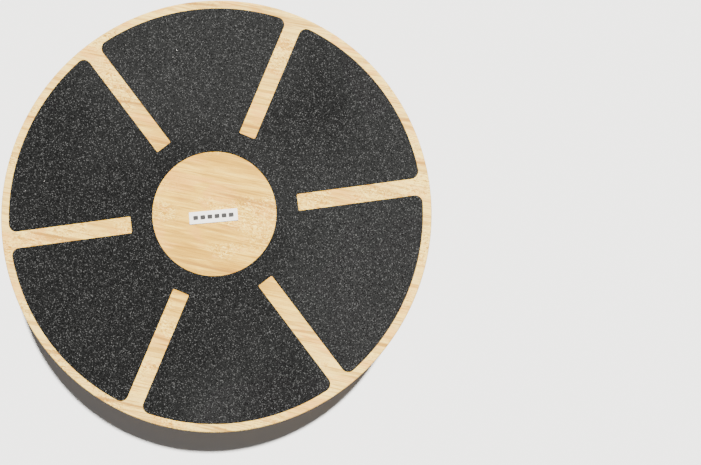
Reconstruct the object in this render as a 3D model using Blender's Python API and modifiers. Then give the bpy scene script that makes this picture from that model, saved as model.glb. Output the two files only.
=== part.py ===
"""Balance board: a round plywood deck with a grit sheet on top, screwed to a hollow plastic rocker base.

The board stands on its dome. +Z is up, the origin is the middle of the spot where the dome meets the floor,
and +X runs along one of the grit sheet's slots. All lengths are in metres.
"""

import math

import bmesh
import bpy
from mathutils import Matrix

# Plywood deck: two thin face veneers with thicker core plies between them
DECK_RADIUS = 0.200
DECK_THICKNESS = 0.012
DECK_EDGE_ROUND = 0.0015
FACE_VENEER_THICKNESS = 0.0007
CORE_PLY_COUNT = 7
GLUE_LINE = 0.0001

# Rocker base. It is moulded in one, and is modelled as a hollow dome, a flange and gussets that nearly touch
BASE_HEIGHT = 0.067
FLANGE_RADIUS = 0.090
FLANGE_THICKNESS = 0.004
FLANGE_CHAMFER = 0.0006
NECK_RADIUS = 0.061
NECK_DRAFT = 0.001
NECK_ROOT_FILLET = 0.002
DOME_RADIUS = 0.070
CONTACT_RADIUS = 0.004
LIP_OVERHANG = 0.0008
LIP_HEIGHT = 0.0014
WALL = 0.0035
WEB_THICKNESS = 0.0022
WEB_COUNT = 8
HUB_RADIUS = 0.008
GUSSET_COUNT = 8
GUSSET_THICKNESS = 0.0026
GUSSET_REACH = 0.0885
GUSSET_TOE = 0.0010
GUSSET_HEAD = 0.0015
MOULDED_JOINT = 0.0001

# Screws and the collars that they sit in
SCREW_COUNT = 8
SCREW_CIRCLE_RADIUS = 0.076
SCREW_LENGTH = 0.012
SCREW_SHANK_RADIUS = 0.0021
SCREW_POINT = 0.0035
SCREW_HEAD_RADIUS = 0.00475
SCREW_HEAD_HEIGHT = 0.0028
SCREW_HEAD_RIM = 0.0008
CROSS_LENGTH = 0.0052
CROSS_WIDTH = 0.0012
CROSS_DEPTH = 0.0017
COLLAR_RADIUS = 0.00775
COLLAR_HEIGHT = 0.0020
COUNTERBORE_RADIUS = 0.0058
COUNTERBORE_DEPTH = 0.0035

# Grit sheet and label on the deck
GRIP_RADIUS = 0.192
GRIP_OPENING_RADIUS = 0.0576
GRIP_THICKNESS = 0.0008
SLOT_COUNT = 6
SLOT_WIDTH = 0.0157
SLOT_INNER_END = 0.0778
SLOT_INNER_ROUND = 0.0012
LOBE_CORNER_ROUND = 0.0070
LABEL_LENGTH = 0.045
LABEL_WIDTH = 0.0112
LABEL_THICKNESS = 0.0007
LABEL_CORNER_ROUND = 0.0006
LABEL_SHIFT = (-0.0010, -0.0026)
LABEL_TURN = math.radians(-2.4)

# Pieces that rest on each other, or sit in each other's holes, stay this far apart
SEAT_GAP = 0.0003

DECK_STEPS = 72
BASE_STEPS = 64
SCREW_STEPS = 16
DRILL_STEPS = 8
MERGE_DISTANCE = 0.000001
SMOOTH_ANGLE = math.radians(32)

FLANGE_FACE = BASE_HEIGHT - FLANGE_THICKNESS
DECK_BOTTOM = BASE_HEIGHT + SEAT_GAP
DECK_TOP = DECK_BOTTOM + DECK_THICKNESS
CORE_THICKNESS = DECK_THICKNESS - 2 * FACE_VENEER_THICKNESS - (CORE_PLY_COUNT + 1) * GLUE_LINE
CORE_PLY_THICKNESS = CORE_THICKNESS / CORE_PLY_COUNT
HEAD_SEAT = FLANGE_FACE - COLLAR_HEIGHT + COUNTERBORE_DEPTH - SEAT_GAP
SCREW_TIP = HEAD_SEAT + SCREW_LENGTH


def dome_height(radius, distance_from_axis, centre_height):
    """Height of a downward sphere's surface over the floor, at a distance from the vertical axis."""
    return centre_height - math.sqrt(radius**2 - distance_from_axis**2)


# The sphere is lowered a little, so that its small contact flat lies on the floor
DOME_CENTRE = math.sqrt(DOME_RADIUS**2 - CONTACT_RADIUS**2)
LIP_BOTTOM = dome_height(DOME_RADIUS, NECK_RADIUS, DOME_CENTRE)
LIP_TOP = LIP_BOTTOM + LIP_HEIGHT


# ---- scene and helpers

def clear_scene():
    for thing in list(bpy.data.objects):
        bpy.data.objects.remove(thing, do_unlink=True)


def add_collection(name, helper=False):
    collection = bpy.data.collections.new(name)
    bpy.context.scene.collection.children.link(collection)
    collection.hide_render = helper
    return collection


def plain_material(name, color, roughness, metallic=0.0):
    material = bpy.data.materials.new(name)
    material.use_nodes = True
    shader = material.node_tree.nodes["Principled BSDF"]
    shader.inputs["Base Color"].default_value = (*color, 1.0)
    shader.inputs["Roughness"].default_value = roughness
    shader.inputs["Metallic"].default_value = metallic
    return material


def add_empty(name, collection, height=0.0, parent=None):
    empty = bpy.data.objects.new(name, None)
    empty.location.z = height
    empty.parent = parent
    collection.objects.link(empty)
    return empty


def add_object(name, mesh, collection):
    piece = bpy.data.objects.new(name, mesh)
    collection.objects.link(piece)
    return piece


def mark_helper(piece):
    piece.hide_render = True
    piece.display_type = "WIRE"
    return piece


def circle_angles(count, start=0.0):
    return [start + 2 * math.pi * i / count for i in range(count)]


def arc(centre_x, centre_y, radius, start, end, steps):
    """Points along an arc, both ends included, with angles in radians."""
    turn = (end - start) / steps
    return [
        (centre_x + radius * math.cos(start + turn * i), centre_y + radius * math.sin(start + turn * i))
        for i in range(steps + 1)
    ]


def turned(name, profile, steps, collection):
    """A solid of revolution about Z. The profile runs down its outer side, as (radius, height) points."""
    mesh = bpy.data.meshes.new(name)
    edges = [(i, i + 1) for i in range(len(profile) - 1)]
    mesh.from_pydata([(radius, 0.0, height) for radius, height in profile], edges, [])
    piece = add_object(name, mesh, collection)
    screw = piece.modifiers.new("turn", "SCREW")
    screw.steps = steps
    screw.render_steps = steps
    screw.use_merge_vertices = True
    screw.merge_threshold = MERGE_DISTANCE
    return piece


def flat_plate(name, outlines, thickness, collection):
    """A flat mesh plate lying in its own XY plane, centred on it. Each outline after the first is a hole."""
    curve = bpy.data.curves.new(name, "CURVE")
    curve.dimensions = "2D"
    curve.fill_mode = "BOTH"
    curve.extrude = thickness / 2
    for outline in outlines:
        spline = curve.splines.new("POLY")
        spline.points.add(len(outline) - 1)
        for point, (x, y) in zip(spline.points, outline):
            point.co = (x, y, 0.0, 1.0)
        spline.use_cyclic_u = True
    drawn = add_object(name + "_outline", curve, collection)
    piece = add_object(name, evaluated_mesh(drawn), collection)
    piece.data.name = name
    piece.matrix_world = drawn.matrix_world
    bpy.data.objects.remove(drawn, do_unlink=True)
    return piece


def evaluated_mesh(source):
    """The mesh that an object's modifiers or curve settings make, with its loose seams welded."""
    bpy.context.view_layer.update()
    graph = bpy.context.evaluated_depsgraph_get()
    mesh = bpy.data.meshes.new_from_object(source.evaluated_get(graph), depsgraph=graph)
    work = bmesh.new()
    work.from_mesh(mesh)
    bmesh.ops.remove_doubles(work, verts=work.verts, dist=MERGE_DISTANCE)
    work.to_mesh(mesh)
    work.free()
    return mesh


def settle(piece, material):
    """Turns an object's modifiers into its mesh, shades its round faces smooth and gives it its material."""
    mesh = evaluated_mesh(piece)
    mesh.name = piece.name
    mesh.shade_smooth()
    mesh.set_sharp_from_angle(angle=SMOOTH_ANGLE)
    mesh.materials.clear()
    mesh.materials.append(material)
    piece.modifiers.clear()
    piece.data = mesh
    return piece


def boolean_with(piece, collection, operation):
    boolean = piece.modifiers.new(collection.name, "BOOLEAN")
    boolean.operation = operation
    boolean.operand_type = "COLLECTION"
    boolean.collection = collection
    boolean.solver = "EXACT"


def box(name, size, centre, turn, collection):
    bpy.ops.mesh.primitive_cube_add(size=1.0)
    piece = bpy.context.object
    piece.name = name
    piece.data.transform(Matrix.Diagonal((*size, 1.0)))
    piece.location = centre
    piece.rotation_euler.z = turn
    for owner in list(piece.users_collection):
        owner.objects.unlink(piece)
    collection.objects.link(piece)
    return mark_helper(piece)


# ---- plywood deck

def deck_edge_radius(height):
    """Radius of the deck's edge at a height over its lower face. The edge is rounded beside both faces."""
    into_rounding = DECK_EDGE_ROUND - min(height, DECK_THICKNESS - height)
    if into_rounding <= 0.0:
        return DECK_RADIUS
    return DECK_RADIUS - DECK_EDGE_ROUND + math.sqrt(max(DECK_EDGE_ROUND**2 - into_rounding**2, 0.0))


def ply_profile(low, high):
    """Profile of one veneer between two heights, with extra points where the deck's edge is rounded."""
    rounded = low < DECK_EDGE_ROUND or high > DECK_THICKNESS - DECK_EDGE_ROUND
    steps = 3 if rounded else 1
    heights = [high + (low - high) * i / steps for i in range(steps + 1)]
    edge = [(deck_edge_radius(height), height) for height in heights]
    return [(0.0, high), *edge, (0.0, low)]


def deck_layers():
    """Each veneer's name, and its lower and upper height over the deck's lower face, from the bottom up."""
    thicknesses = {"bottom_veneer": FACE_VENEER_THICKNESS}
    for index in range(CORE_PLY_COUNT):
        thicknesses[f"core_ply_{index + 1}"] = CORE_PLY_THICKNESS
    thicknesses["top_veneer"] = FACE_VENEER_THICKNESS
    layers = []
    low = 0.0
    for name, thickness in thicknesses.items():
        layers.append((name, low, low + thickness))
        low += thickness + GLUE_LINE
    return layers


def drilled_layers():
    """Those of the veneers that the base's screws reach."""
    return [layer for layer in deck_layers() if DECK_BOTTOM + layer[1] < SCREW_TIP]


def add_deck(collection, drills, parent, face_wood, core_wood, back_wood):
    """Nine veneers, glued face to face. Those that the base's screws reach have pilot holes."""
    woods = {"top_veneer": face_wood, "bottom_veneer": back_wood}
    drilled = drilled_layers()
    for layer in deck_layers():
        name, low, high = layer
        ply = turned(name, ply_profile(low, high), DECK_STEPS, collection)
        ply.parent = parent
        if layer in drilled:
            boolean_with(ply, drills, "DIFFERENCE")
        settle(ply, woods.get(name, core_wood))


def add_pilot_drills(drills):
    """One drill for each screw. It goes right through every veneer that a screw reaches, and ends in glue."""
    top = DECK_BOTTOM + drilled_layers()[-1][2] + GLUE_LINE / 2
    bottom = DECK_BOTTOM - SEAT_GAP
    radius = (SCREW_SHANK_RADIUS + SEAT_GAP) / math.cos(math.pi / DRILL_STEPS)
    profile = [(0.0, top), (radius, top), (radius, bottom), (0.0, bottom)]
    for index, angle in enumerate(circle_angles(SCREW_COUNT)):
        drill = turned(f"pilot_drill_{index + 1}", profile, DRILL_STEPS, drills)
        drill.location = on_screw_circle(angle)
        mark_helper(drill)


# ---- rocker base

def on_screw_circle(angle, height=0.0):
    return (SCREW_CIRCLE_RADIUS * math.cos(angle), SCREW_CIRCLE_RADIUS * math.sin(angle), height)


def sphere_profile(radius, outer, inner, steps):
    """Points down a dome's side, between two distances from the axis."""
    start = math.asin(outer / radius)
    end = math.asin(inner / radius)
    angles = [start + (end - start) * i / steps for i in range(steps + 1)]
    return [(radius * math.sin(angle), DOME_CENTRE - radius * math.cos(angle)) for angle in angles]


def dome_profile():
    """Outer profile of the dome, its lip and the neck above it, from the deck down to the floor."""
    root = NECK_RADIUS + NECK_DRAFT
    lip = NECK_RADIUS + LIP_OVERHANG
    return [
        (0.0, BASE_HEIGHT),
        (root, BASE_HEIGHT),
        (root, FLANGE_FACE),
        (NECK_RADIUS, LIP_TOP + LIP_OVERHANG),
        (lip, LIP_TOP),
        (lip, LIP_BOTTOM + LIP_OVERHANG),
        *sphere_profile(DOME_RADIUS, NECK_RADIUS, CONTACT_RADIUS, 10),
        (0.0, 0.0),
    ]


def flange_profile():
    """Profile of the flange with the fillet beside the neck, before its middle is cut out."""
    inside = NECK_RADIUS + NECK_DRAFT + MOULDED_JOINT
    fillet_bottom = FLANGE_FACE - NECK_ROOT_FILLET
    fillet = arc(inside + NECK_ROOT_FILLET, fillet_bottom, NECK_ROOT_FILLET, math.pi / 2, math.pi, 3)
    return [
        (0.0, BASE_HEIGHT),
        (FLANGE_RADIUS - FLANGE_CHAMFER, BASE_HEIGHT),
        (FLANGE_RADIUS, BASE_HEIGHT - FLANGE_CHAMFER),
        (FLANGE_RADIUS, FLANGE_FACE + FLANGE_CHAMFER),
        (FLANGE_RADIUS - FLANGE_CHAMFER, FLANGE_FACE),
        *fillet,
        (0.0, fillet_bottom),
    ]


def hollow_profile():
    """Profile of the space inside the base, with its mouth cut past the face that meets the deck."""
    inside = NECK_RADIUS - WALL
    mouth = BASE_HEIGHT + WALL
    dome = sphere_profile(DOME_RADIUS - WALL, inside, 0.0, 8)
    return [(0.0, mouth), (inside, mouth), *dome]


def add_webs(webs):
    """Radial webs, which meet in a middle hub and stiffen the hollow base from inside."""
    length = 2 * FLANGE_RADIUS
    height = 2 * BASE_HEIGHT
    for index in range(WEB_COUNT // 2):
        turn = math.pi * (index + 0.5) / (WEB_COUNT // 2)
        box(f"radial_web_{index + 1}", (length, WEB_THICKNESS, height), (0.0, 0.0, BASE_HEIGHT), turn, webs)
    hub = [(0.0, height), (HUB_RADIUS, height), (HUB_RADIUS, -WALL), (0.0, -WALL)]
    mark_helper(turned("hub", hub, SCREW_STEPS, webs))


def add_hollow(cutters, webs):
    hollow = turned("hollow", hollow_profile(), BASE_STEPS, cutters)
    boolean_with(hollow, webs, "DIFFERENCE")
    hollow.data = evaluated_mesh(hollow)
    hollow.modifiers.clear()
    mark_helper(hollow)


def add_dome(collection, cutters, parent, material):
    dome = turned("rocker_dome", dome_profile(), BASE_STEPS, collection)
    dome.parent = parent
    boolean_with(dome, cutters, "DIFFERENCE")
    settle(dome, material)


def gusset_outline():
    """A gusset as (distance from the axis, height), clear of the neck, the fillet and the flange."""
    neck = NECK_RADIUS + MOULDED_JOINT
    root = neck + NECK_DRAFT
    fillet = NECK_ROOT_FILLET + MOULDED_JOINT
    top = FLANGE_FACE - MOULDED_JOINT
    return [
        (neck, LIP_TOP + GUSSET_HEAD),
        (NECK_RADIUS + LIP_OVERHANG, LIP_TOP + GUSSET_HEAD),
        (GUSSET_REACH, FLANGE_FACE - GUSSET_TOE),
        (GUSSET_REACH, top),
        (root + fillet, top),
        (root, top - fillet),
    ]


def add_gussets(collection, parent, material):
    """Thin triangular fins between the screws, from the flange's rim up the neck to the dome's lip."""
    for index, angle in enumerate(circle_angles(GUSSET_COUNT, math.pi / GUSSET_COUNT)):
        gusset = flat_plate(f"gusset_{index + 1}", [gusset_outline()], GUSSET_THICKNESS, collection)
        gusset.rotation_euler = (math.pi / 2, 0.0, angle)
        gusset.parent = parent
        settle(gusset, material)


def add_collars(collars):
    """Raised round collars on the flange, one for each screw head."""
    low = -COLLAR_HEIGHT
    profile = [
        (0.0, FLANGE_THICKNESS / 2),
        (COLLAR_RADIUS, FLANGE_THICKNESS / 2),
        (COLLAR_RADIUS, low + FLANGE_CHAMFER),
        (COLLAR_RADIUS - FLANGE_CHAMFER, low),
        (0.0, low),
    ]
    for index, angle in enumerate(circle_angles(SCREW_COUNT)):
        collar = turned(f"collar_{index + 1}", profile, SCREW_STEPS, collars)
        collar.location = on_screw_circle(angle, FLANGE_FACE)
        mark_helper(collar)


def add_screw_bores(cutters):
    """Stepped bores through the collars and the flange: room for the head, then for the shank."""
    low = -COLLAR_HEIGHT - SEAT_GAP
    seat = COUNTERBORE_DEPTH - COLLAR_HEIGHT
    clearance = SCREW_SHANK_RADIUS + 2 * SEAT_GAP
    top = FLANGE_THICKNESS + SEAT_GAP
    profile = [
        (0.0, top),
        (clearance, top),
        (clearance, seat),
        (COUNTERBORE_RADIUS, seat),
        (COUNTERBORE_RADIUS, low),
        (0.0, low),
    ]
    for index, angle in enumerate(circle_angles(SCREW_COUNT)):
        bore = turned(f"screw_bore_{index + 1}", profile, SCREW_STEPS, cutters)
        bore.location = on_screw_circle(angle, FLANGE_FACE)
        mark_helper(bore)


def add_flange_opening(cutters):
    inside = NECK_RADIUS + NECK_DRAFT + MOULDED_JOINT
    opening = [(0.0, 2 * BASE_HEIGHT), (inside, 2 * BASE_HEIGHT), (inside, 0.0), (0.0, 0.0)]
    mark_helper(turned("flange_opening", opening, BASE_STEPS, cutters))


def add_flange(collection, collars, cutters, parent, material):
    flange = turned("base_flange", flange_profile(), BASE_STEPS, collection)
    flange.parent = parent
    boolean_with(flange, collars, "UNION")
    boolean_with(flange, cutters, "DIFFERENCE")
    settle(flange, material)


# ---- screws

def screw_profile():
    """A pan-head screw standing on its head, with the head's seat at height 0 and its point at the top."""
    crown_height = SCREW_HEAD_HEIGHT - SCREW_HEAD_RIM
    crown = [
        (SCREW_HEAD_RADIUS * math.cos(angle), -SCREW_HEAD_RIM - crown_height * math.sin(angle))
        for angle in (0.0, math.pi / 8, math.pi / 4, 3 * math.pi / 8)
    ]
    return [
        (0.0, SCREW_LENGTH),
        (SCREW_SHANK_RADIUS, SCREW_LENGTH - SCREW_POINT),
        (SCREW_SHANK_RADIUS, 0.0),
        (SCREW_HEAD_RADIUS, 0.0),
        *crown,
        (0.0, -SCREW_HEAD_HEIGHT),
    ]


def add_screws(collection, recess, parent, material):
    """Eight identical screws that share one mesh. Each head has a cross recess."""
    size = (CROSS_LENGTH, CROSS_WIDTH, 2 * CROSS_DEPTH)
    for index, turn in enumerate((0.0, math.pi / 2)):
        box(f"cross_{index + 1}", size, (0.0, 0.0, -SCREW_HEAD_HEIGHT), turn, recess)
    pattern = turned("base_screw_1", screw_profile(), SCREW_STEPS, collection)
    boolean_with(pattern, recess, "DIFFERENCE")
    settle(pattern, material)
    screws = [pattern]
    for index in range(1, SCREW_COUNT):
        screws.append(add_object(f"base_screw_{index + 1}", pattern.data, collection))
    for screw, angle in zip(screws, circle_angles(SCREW_COUNT)):
        screw.parent = parent
        screw.location = on_screw_circle(angle, HEAD_SEAT)
        screw.rotation_euler.z = 3 * angle


# ---- grit sheet and label

def lobe_outline(middle):
    """One lobe of the grit sheet and the slot before it, as points that run anticlockwise."""
    half_slot = SLOT_WIDTH / 2
    corner_circle = GRIP_RADIUS - LOBE_CORNER_ROUND
    corner_along = math.sqrt(corner_circle**2 - (half_slot + LOBE_CORNER_ROUND) ** 2)
    corner_turn = math.atan2(half_slot + LOBE_CORNER_ROUND, corner_along)
    slot_end = SLOT_INNER_END + SLOT_INNER_ROUND
    slot_corner = arc(slot_end, half_slot - SLOT_INNER_ROUND, SLOT_INNER_ROUND, math.pi, math.pi / 2, 2)
    corner = arc(corner_along, half_slot + LOBE_CORNER_ROUND, LOBE_CORNER_ROUND, -math.pi / 2, corner_turn, 5)
    beside_slot = slot_corner + corner
    pitch = 2 * math.pi / SLOT_COUNT
    rim = arc(0.0, 0.0, GRIP_RADIUS, corner_turn, pitch - corner_turn, 12)[1:-1]
    far_side = [rotated((x, -y), pitch) for x, y in reversed(beside_slot)]
    return [rotated(point, middle) for point in beside_slot + rim + far_side]


def rotated(point, angle):
    x, y = point
    return (x * math.cos(angle) - y * math.sin(angle), x * math.sin(angle) + y * math.cos(angle))


def add_grip_sheet(collection, parent, material):
    """One die-cut sheet: a ring round the middle with six lobes, parted by straight slots."""
    outline = []
    for angle in circle_angles(SLOT_COUNT):
        outline += lobe_outline(angle)
    opening = arc(0.0, 0.0, GRIP_OPENING_RADIUS, 0.0, 2 * math.pi, DECK_STEPS)[:-1]
    sheet = flat_plate("grip_sheet", [outline, opening], GRIP_THICKNESS, collection)
    sheet.parent = parent
    sheet.location.z = DECK_THICKNESS + SEAT_GAP + GRIP_THICKNESS / 2
    settle(sheet, material)


def rounded_rectangle(length, width, corner):
    x = length / 2 - corner
    y = width / 2 - corner
    points = []
    for index, (side_x, side_y) in enumerate(((x, y), (-x, y), (-x, -y), (x, -y))):
        start = index * math.pi / 2
        points += arc(side_x, side_y, corner, start, start + math.pi / 2, 3)
    return points


def add_label(collection, parent, material):
    outline = rounded_rectangle(LABEL_LENGTH, LABEL_WIDTH, LABEL_CORNER_ROUND)
    label = flat_plate("label_plate", [outline], LABEL_THICKNESS, collection)
    label.parent = parent
    label.location = (*LABEL_SHIFT, DECK_THICKNESS + SEAT_GAP + LABEL_THICKNESS / 2)
    label.rotation_euler.z = LABEL_TURN
    settle(label, material)


def main():
    clear_scene()
    board = add_collection("balance_board")
    hollow = add_collection("dome_hollow", helper=True)
    webs = add_collection("dome_webs", helper=True)
    collars = add_collection("screw_collars", helper=True)
    flange_cutters = add_collection("flange_cutters", helper=True)
    drills = add_collection("pilot_drills", helper=True)
    recess = add_collection("cross_recess", helper=True)

    face_wood = plain_material("face_veneer_wood", (0.80, 0.66, 0.46), 0.45)
    back_wood = plain_material("back_veneer_wood", (0.76, 0.53, 0.36), 0.55)
    core_wood = plain_material("core_wood", (0.66, 0.47, 0.30), 0.60)
    base_plastic = plain_material("base_plastic", (0.035, 0.035, 0.038), 0.45)
    screw_steel = plain_material("screw_steel", (0.62, 0.62, 0.60), 0.28, 1.0)
    grit = plain_material("grit", (0.030, 0.031, 0.034), 0.85)
    label_white = plain_material("label_white", (0.85, 0.85, 0.83), 0.35)

    standing = add_empty("board_frame", board)
    deck_frame = add_empty("deck_frame", board, DECK_BOTTOM, standing)

    add_pilot_drills(drills)
    add_deck(board, drills, deck_frame, face_wood, core_wood, back_wood)

    add_webs(webs)
    add_hollow(hollow, webs)
    add_dome(board, hollow, standing, base_plastic)
    add_collars(collars)
    add_flange_opening(flange_cutters)
    add_screw_bores(flange_cutters)
    add_flange(board, collars, flange_cutters, standing, base_plastic)
    add_gussets(board, standing, base_plastic)

    add_screws(board, recess, standing, screw_steel)
    add_grip_sheet(board, deck_frame, grit)
    add_label(board, deck_frame, label_white)


main()
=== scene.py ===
"""Looks of the balance board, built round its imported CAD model.

All lengths are in metres, in the CAD's own frame: +Z up, the origin where the dome meets the floor, and +X
along one of the grit sheet's slots. Every piece's vertices are in that frame, so no piece has a location or
a rotation of its own, and a material's Object coordinates are places on the board.
"""

import math

import bmesh
import bpy
import numpy as np
from mathutils import Euler, Matrix, Vector, noise


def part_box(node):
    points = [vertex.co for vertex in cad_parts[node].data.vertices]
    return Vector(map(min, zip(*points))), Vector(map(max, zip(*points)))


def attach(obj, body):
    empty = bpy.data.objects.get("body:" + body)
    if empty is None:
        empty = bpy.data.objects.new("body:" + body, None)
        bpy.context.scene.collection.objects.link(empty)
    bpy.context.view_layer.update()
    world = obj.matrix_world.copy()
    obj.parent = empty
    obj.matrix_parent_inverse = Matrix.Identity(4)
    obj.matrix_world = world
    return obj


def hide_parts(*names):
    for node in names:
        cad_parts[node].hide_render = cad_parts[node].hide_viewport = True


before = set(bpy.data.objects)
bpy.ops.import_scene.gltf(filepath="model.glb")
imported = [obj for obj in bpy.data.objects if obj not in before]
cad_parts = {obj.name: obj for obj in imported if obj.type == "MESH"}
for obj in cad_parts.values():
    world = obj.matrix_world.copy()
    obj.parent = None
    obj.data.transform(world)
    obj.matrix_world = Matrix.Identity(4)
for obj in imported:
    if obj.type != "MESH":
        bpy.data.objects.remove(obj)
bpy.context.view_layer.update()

# Read from the CAD model
VENEERS = ["bottom_veneer", *(f"core_ply_{count}" for count in range(1, 8)), "top_veneer"]
SCREWS = [f"base_screw_{count}" for count in range(1, 9)]
GUSSETS = [f"gusset_{count}" for count in range(1, 9)]
DECK_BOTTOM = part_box("bottom_veneer")[0].z
DECK_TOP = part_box("top_veneer")[1].z
DECK_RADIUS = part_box("core_ply_2")[1].x
GRIP_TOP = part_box("grip_sheet")[1].z
GRIP_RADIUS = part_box("grip_sheet")[1].y
BASE_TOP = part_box("base_flange")[1].z
FLANGE_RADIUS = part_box("base_flange")[1].x
LABEL_LOW, LABEL_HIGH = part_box("label_plate")

# Deck, as in the CAD model
DECK_EDGE_ROUND = 0.0015
GLUE_RECESS = 0.00012
GLUE_RING_WIDTH = 0.006
CORE_JOINTS = (0.058, 0.122)

# Grit sheet
GRIP_OPENING_RADIUS = 0.0576
SLOT_COUNT = 6
SLOT_WIDTH = 0.0157
SLOT_INNER_END = 0.0778
SLOT_INNER_ROUND = 0.0012
LOBE_CORNER_ROUND = 0.0070
FILM_THICKNESS = 0.00055
GRIT_INSET = 0.00015
GRAIN_COUNT = 9000
GRAIN_SIZES = (0.00018, 0.00034)
GRAIN_STRETCH = (0.6, 1.0)
GRIT_CELL = 0.00068
# Painted sheen: how fast the grit's colour grows paler along +X, standing in for light on that side.
GRIT_PAINTED_SHEEN_SLOPE = 0.75

# Label
LABEL_LENGTH = 0.045
LABEL_WIDTH = 0.0112
LABEL_TURN = math.radians(-2.4)
LABEL_CORNER_ROUND = 0.0006
LABEL_EDGE_ROUND = 0.00015
INK_RISE = 0.00003
INK_THICKNESS = 0.0001
MARK_COUNT = 6
MARK_PITCH = 0.0066
MARK_SIZE = (0.0046, 0.0040)
MARK_CORNER_ROUND = 0.0009

# Rocker base
FLANGE_THICKNESS = 0.004
FLANGE_ROUND = 0.0006
FLANGE_UNDER_NECK = 0.004
NECK_RADIUS = 0.061
NECK_DRAFT = 0.001
NECK_ROOT_FILLET = 0.002
NECK_FOOT_REACH = 0.002
NECK_FOOT_SINK = 0.001
DOME_RADIUS = 0.070
CONTACT_RADIUS = 0.004
LIP_OVERHANG = 0.0008
LIP_HEIGHT = 0.0014
LIP_BEVEL = 0.0002
LIP_TUCK_REACH = 0.001
LIP_TUCK_DROP = 0.0004
GUSSET_THICKNESS = 0.0026
GUSSET_REACH = 0.0885
GUSSET_TOE = 0.0010
GUSSET_HEAD = 0.0015
GUSSET_EDGE_ROUND = 0.0005
GUSSET_INTO_NECK = 0.002
GUSSET_INTO_FLANGE = 0.0015
PIN_MARK_TURN = math.radians(15)
PIN_MARK_CIRCLE_RADIUS = 0.0682
PIN_MARK_RADIUS = 0.0033
PIN_MARK_SINK = 0.0002
PIN_MARK_RIM_HEIGHT = 0.00014
PIN_MARK_RIM_WIDTH = 0.00025
PIN_MARK_SLOPE = 0.00015
PIN_MARK_SHOULDER = 0.00006
PIN_MARK_MIDDLE_HEIGHT = 0.00003
PEBBLE_SIZE = 0.00185
PEBBLE_DEPTH = 0.00050
PEBBLE_SLOPE = 0.45
FINE_PEBBLE_SIZE = 0.0019
SMOOTH_START = 0.001
SMOOTH_BAND = 0.007

# Screws and their collars
SCREW_CIRCLE_RADIUS = 0.076
COLLAR_RADIUS = 0.00775
COLLAR_HEIGHT = 0.0020
COLLAR_ROUND = 0.0005
COLLAR_TOP_GAP = 0.0003
COUNTERBORE_RADIUS = 0.0058
COUNTERBORE_DEPTH = 0.0035
COUNTERBORE_ROUND = 0.0003
COUNTERBORE_CLEARANCE = 0.0008
SHANK_HOLE_RADIUS = 0.0027
SHANK_RADIUS = 0.0021
SCREW_POINT = 0.0035
HEAD_HEIGHT = 0.0028
HEAD_RIM = 0.0008
HEAD_BEVEL = 0.0002
HEAD_CROWN_TURN = 1.5
CROSS_LENGTH = 0.0052
CROSS_WIDTH = 0.0012
CROSS_DEPTH = 0.0017
CROSS_TAPER = 0.62

# Camera, sun and floor
CAMERA_PLACE = Vector((0.1429, -0.0784, 0.7762)) + Vector((0.0, 0.0, GRIP_TOP))
CAMERA_TURN = Euler((math.radians(3.05), math.radians(1.93), math.radians(-7.44)))
CAMERA_LENS = 43.65
SUN_AZIMUTH = math.radians(52)
SUN_FROM_ZENITH = math.radians(27)
SUN_SIZE = math.radians(2.5)
SUN_STRENGTH = 14.5
SUN_DISTANCE = 3.0
SUN_COLOR = (1.0, 0.95, 0.87)
STUDIO_COLOR = (0.95, 0.97, 1.0, 1.0)
CEILING_STRENGTH = 0.07
WALL_STRENGTH = 1.3
GROUND_STRENGTH = 0.35
WALL_TOP = math.radians(28)
HORIZON_BLUR = 0.02
BACKDROP_STRENGTH = 3.6
BACKDROP_COLOR = (1.0, 0.99, 0.97, 1.0)
FLOOR_RADIUS = 14.0

# Worked out from the sizes above
FLANGE_FACE = BASE_TOP - FLANGE_THICKNESS
DOME_CENTRE = math.sqrt(DOME_RADIUS**2 - CONTACT_RADIUS**2)
LIP_BOTTOM = DOME_CENTRE - math.sqrt(DOME_RADIUS**2 - NECK_RADIUS**2)
LIP_TOP = LIP_BOTTOM + LIP_HEIGHT
FILM_TOP = DECK_TOP + FILM_THICKNESS

# Segments in a full turn, steps across the dome, and welding distance
FINE = 360
MEDIUM = 96
SMALL = 48
DOME_STEPS = 280
WELD = 1e-7

# Degrees between faces from which an edge is drawn sharp
PLATE_SHARP = 10
ALL_SHARP = 1
NONE_SHARP = 180


# ---- materials

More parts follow.
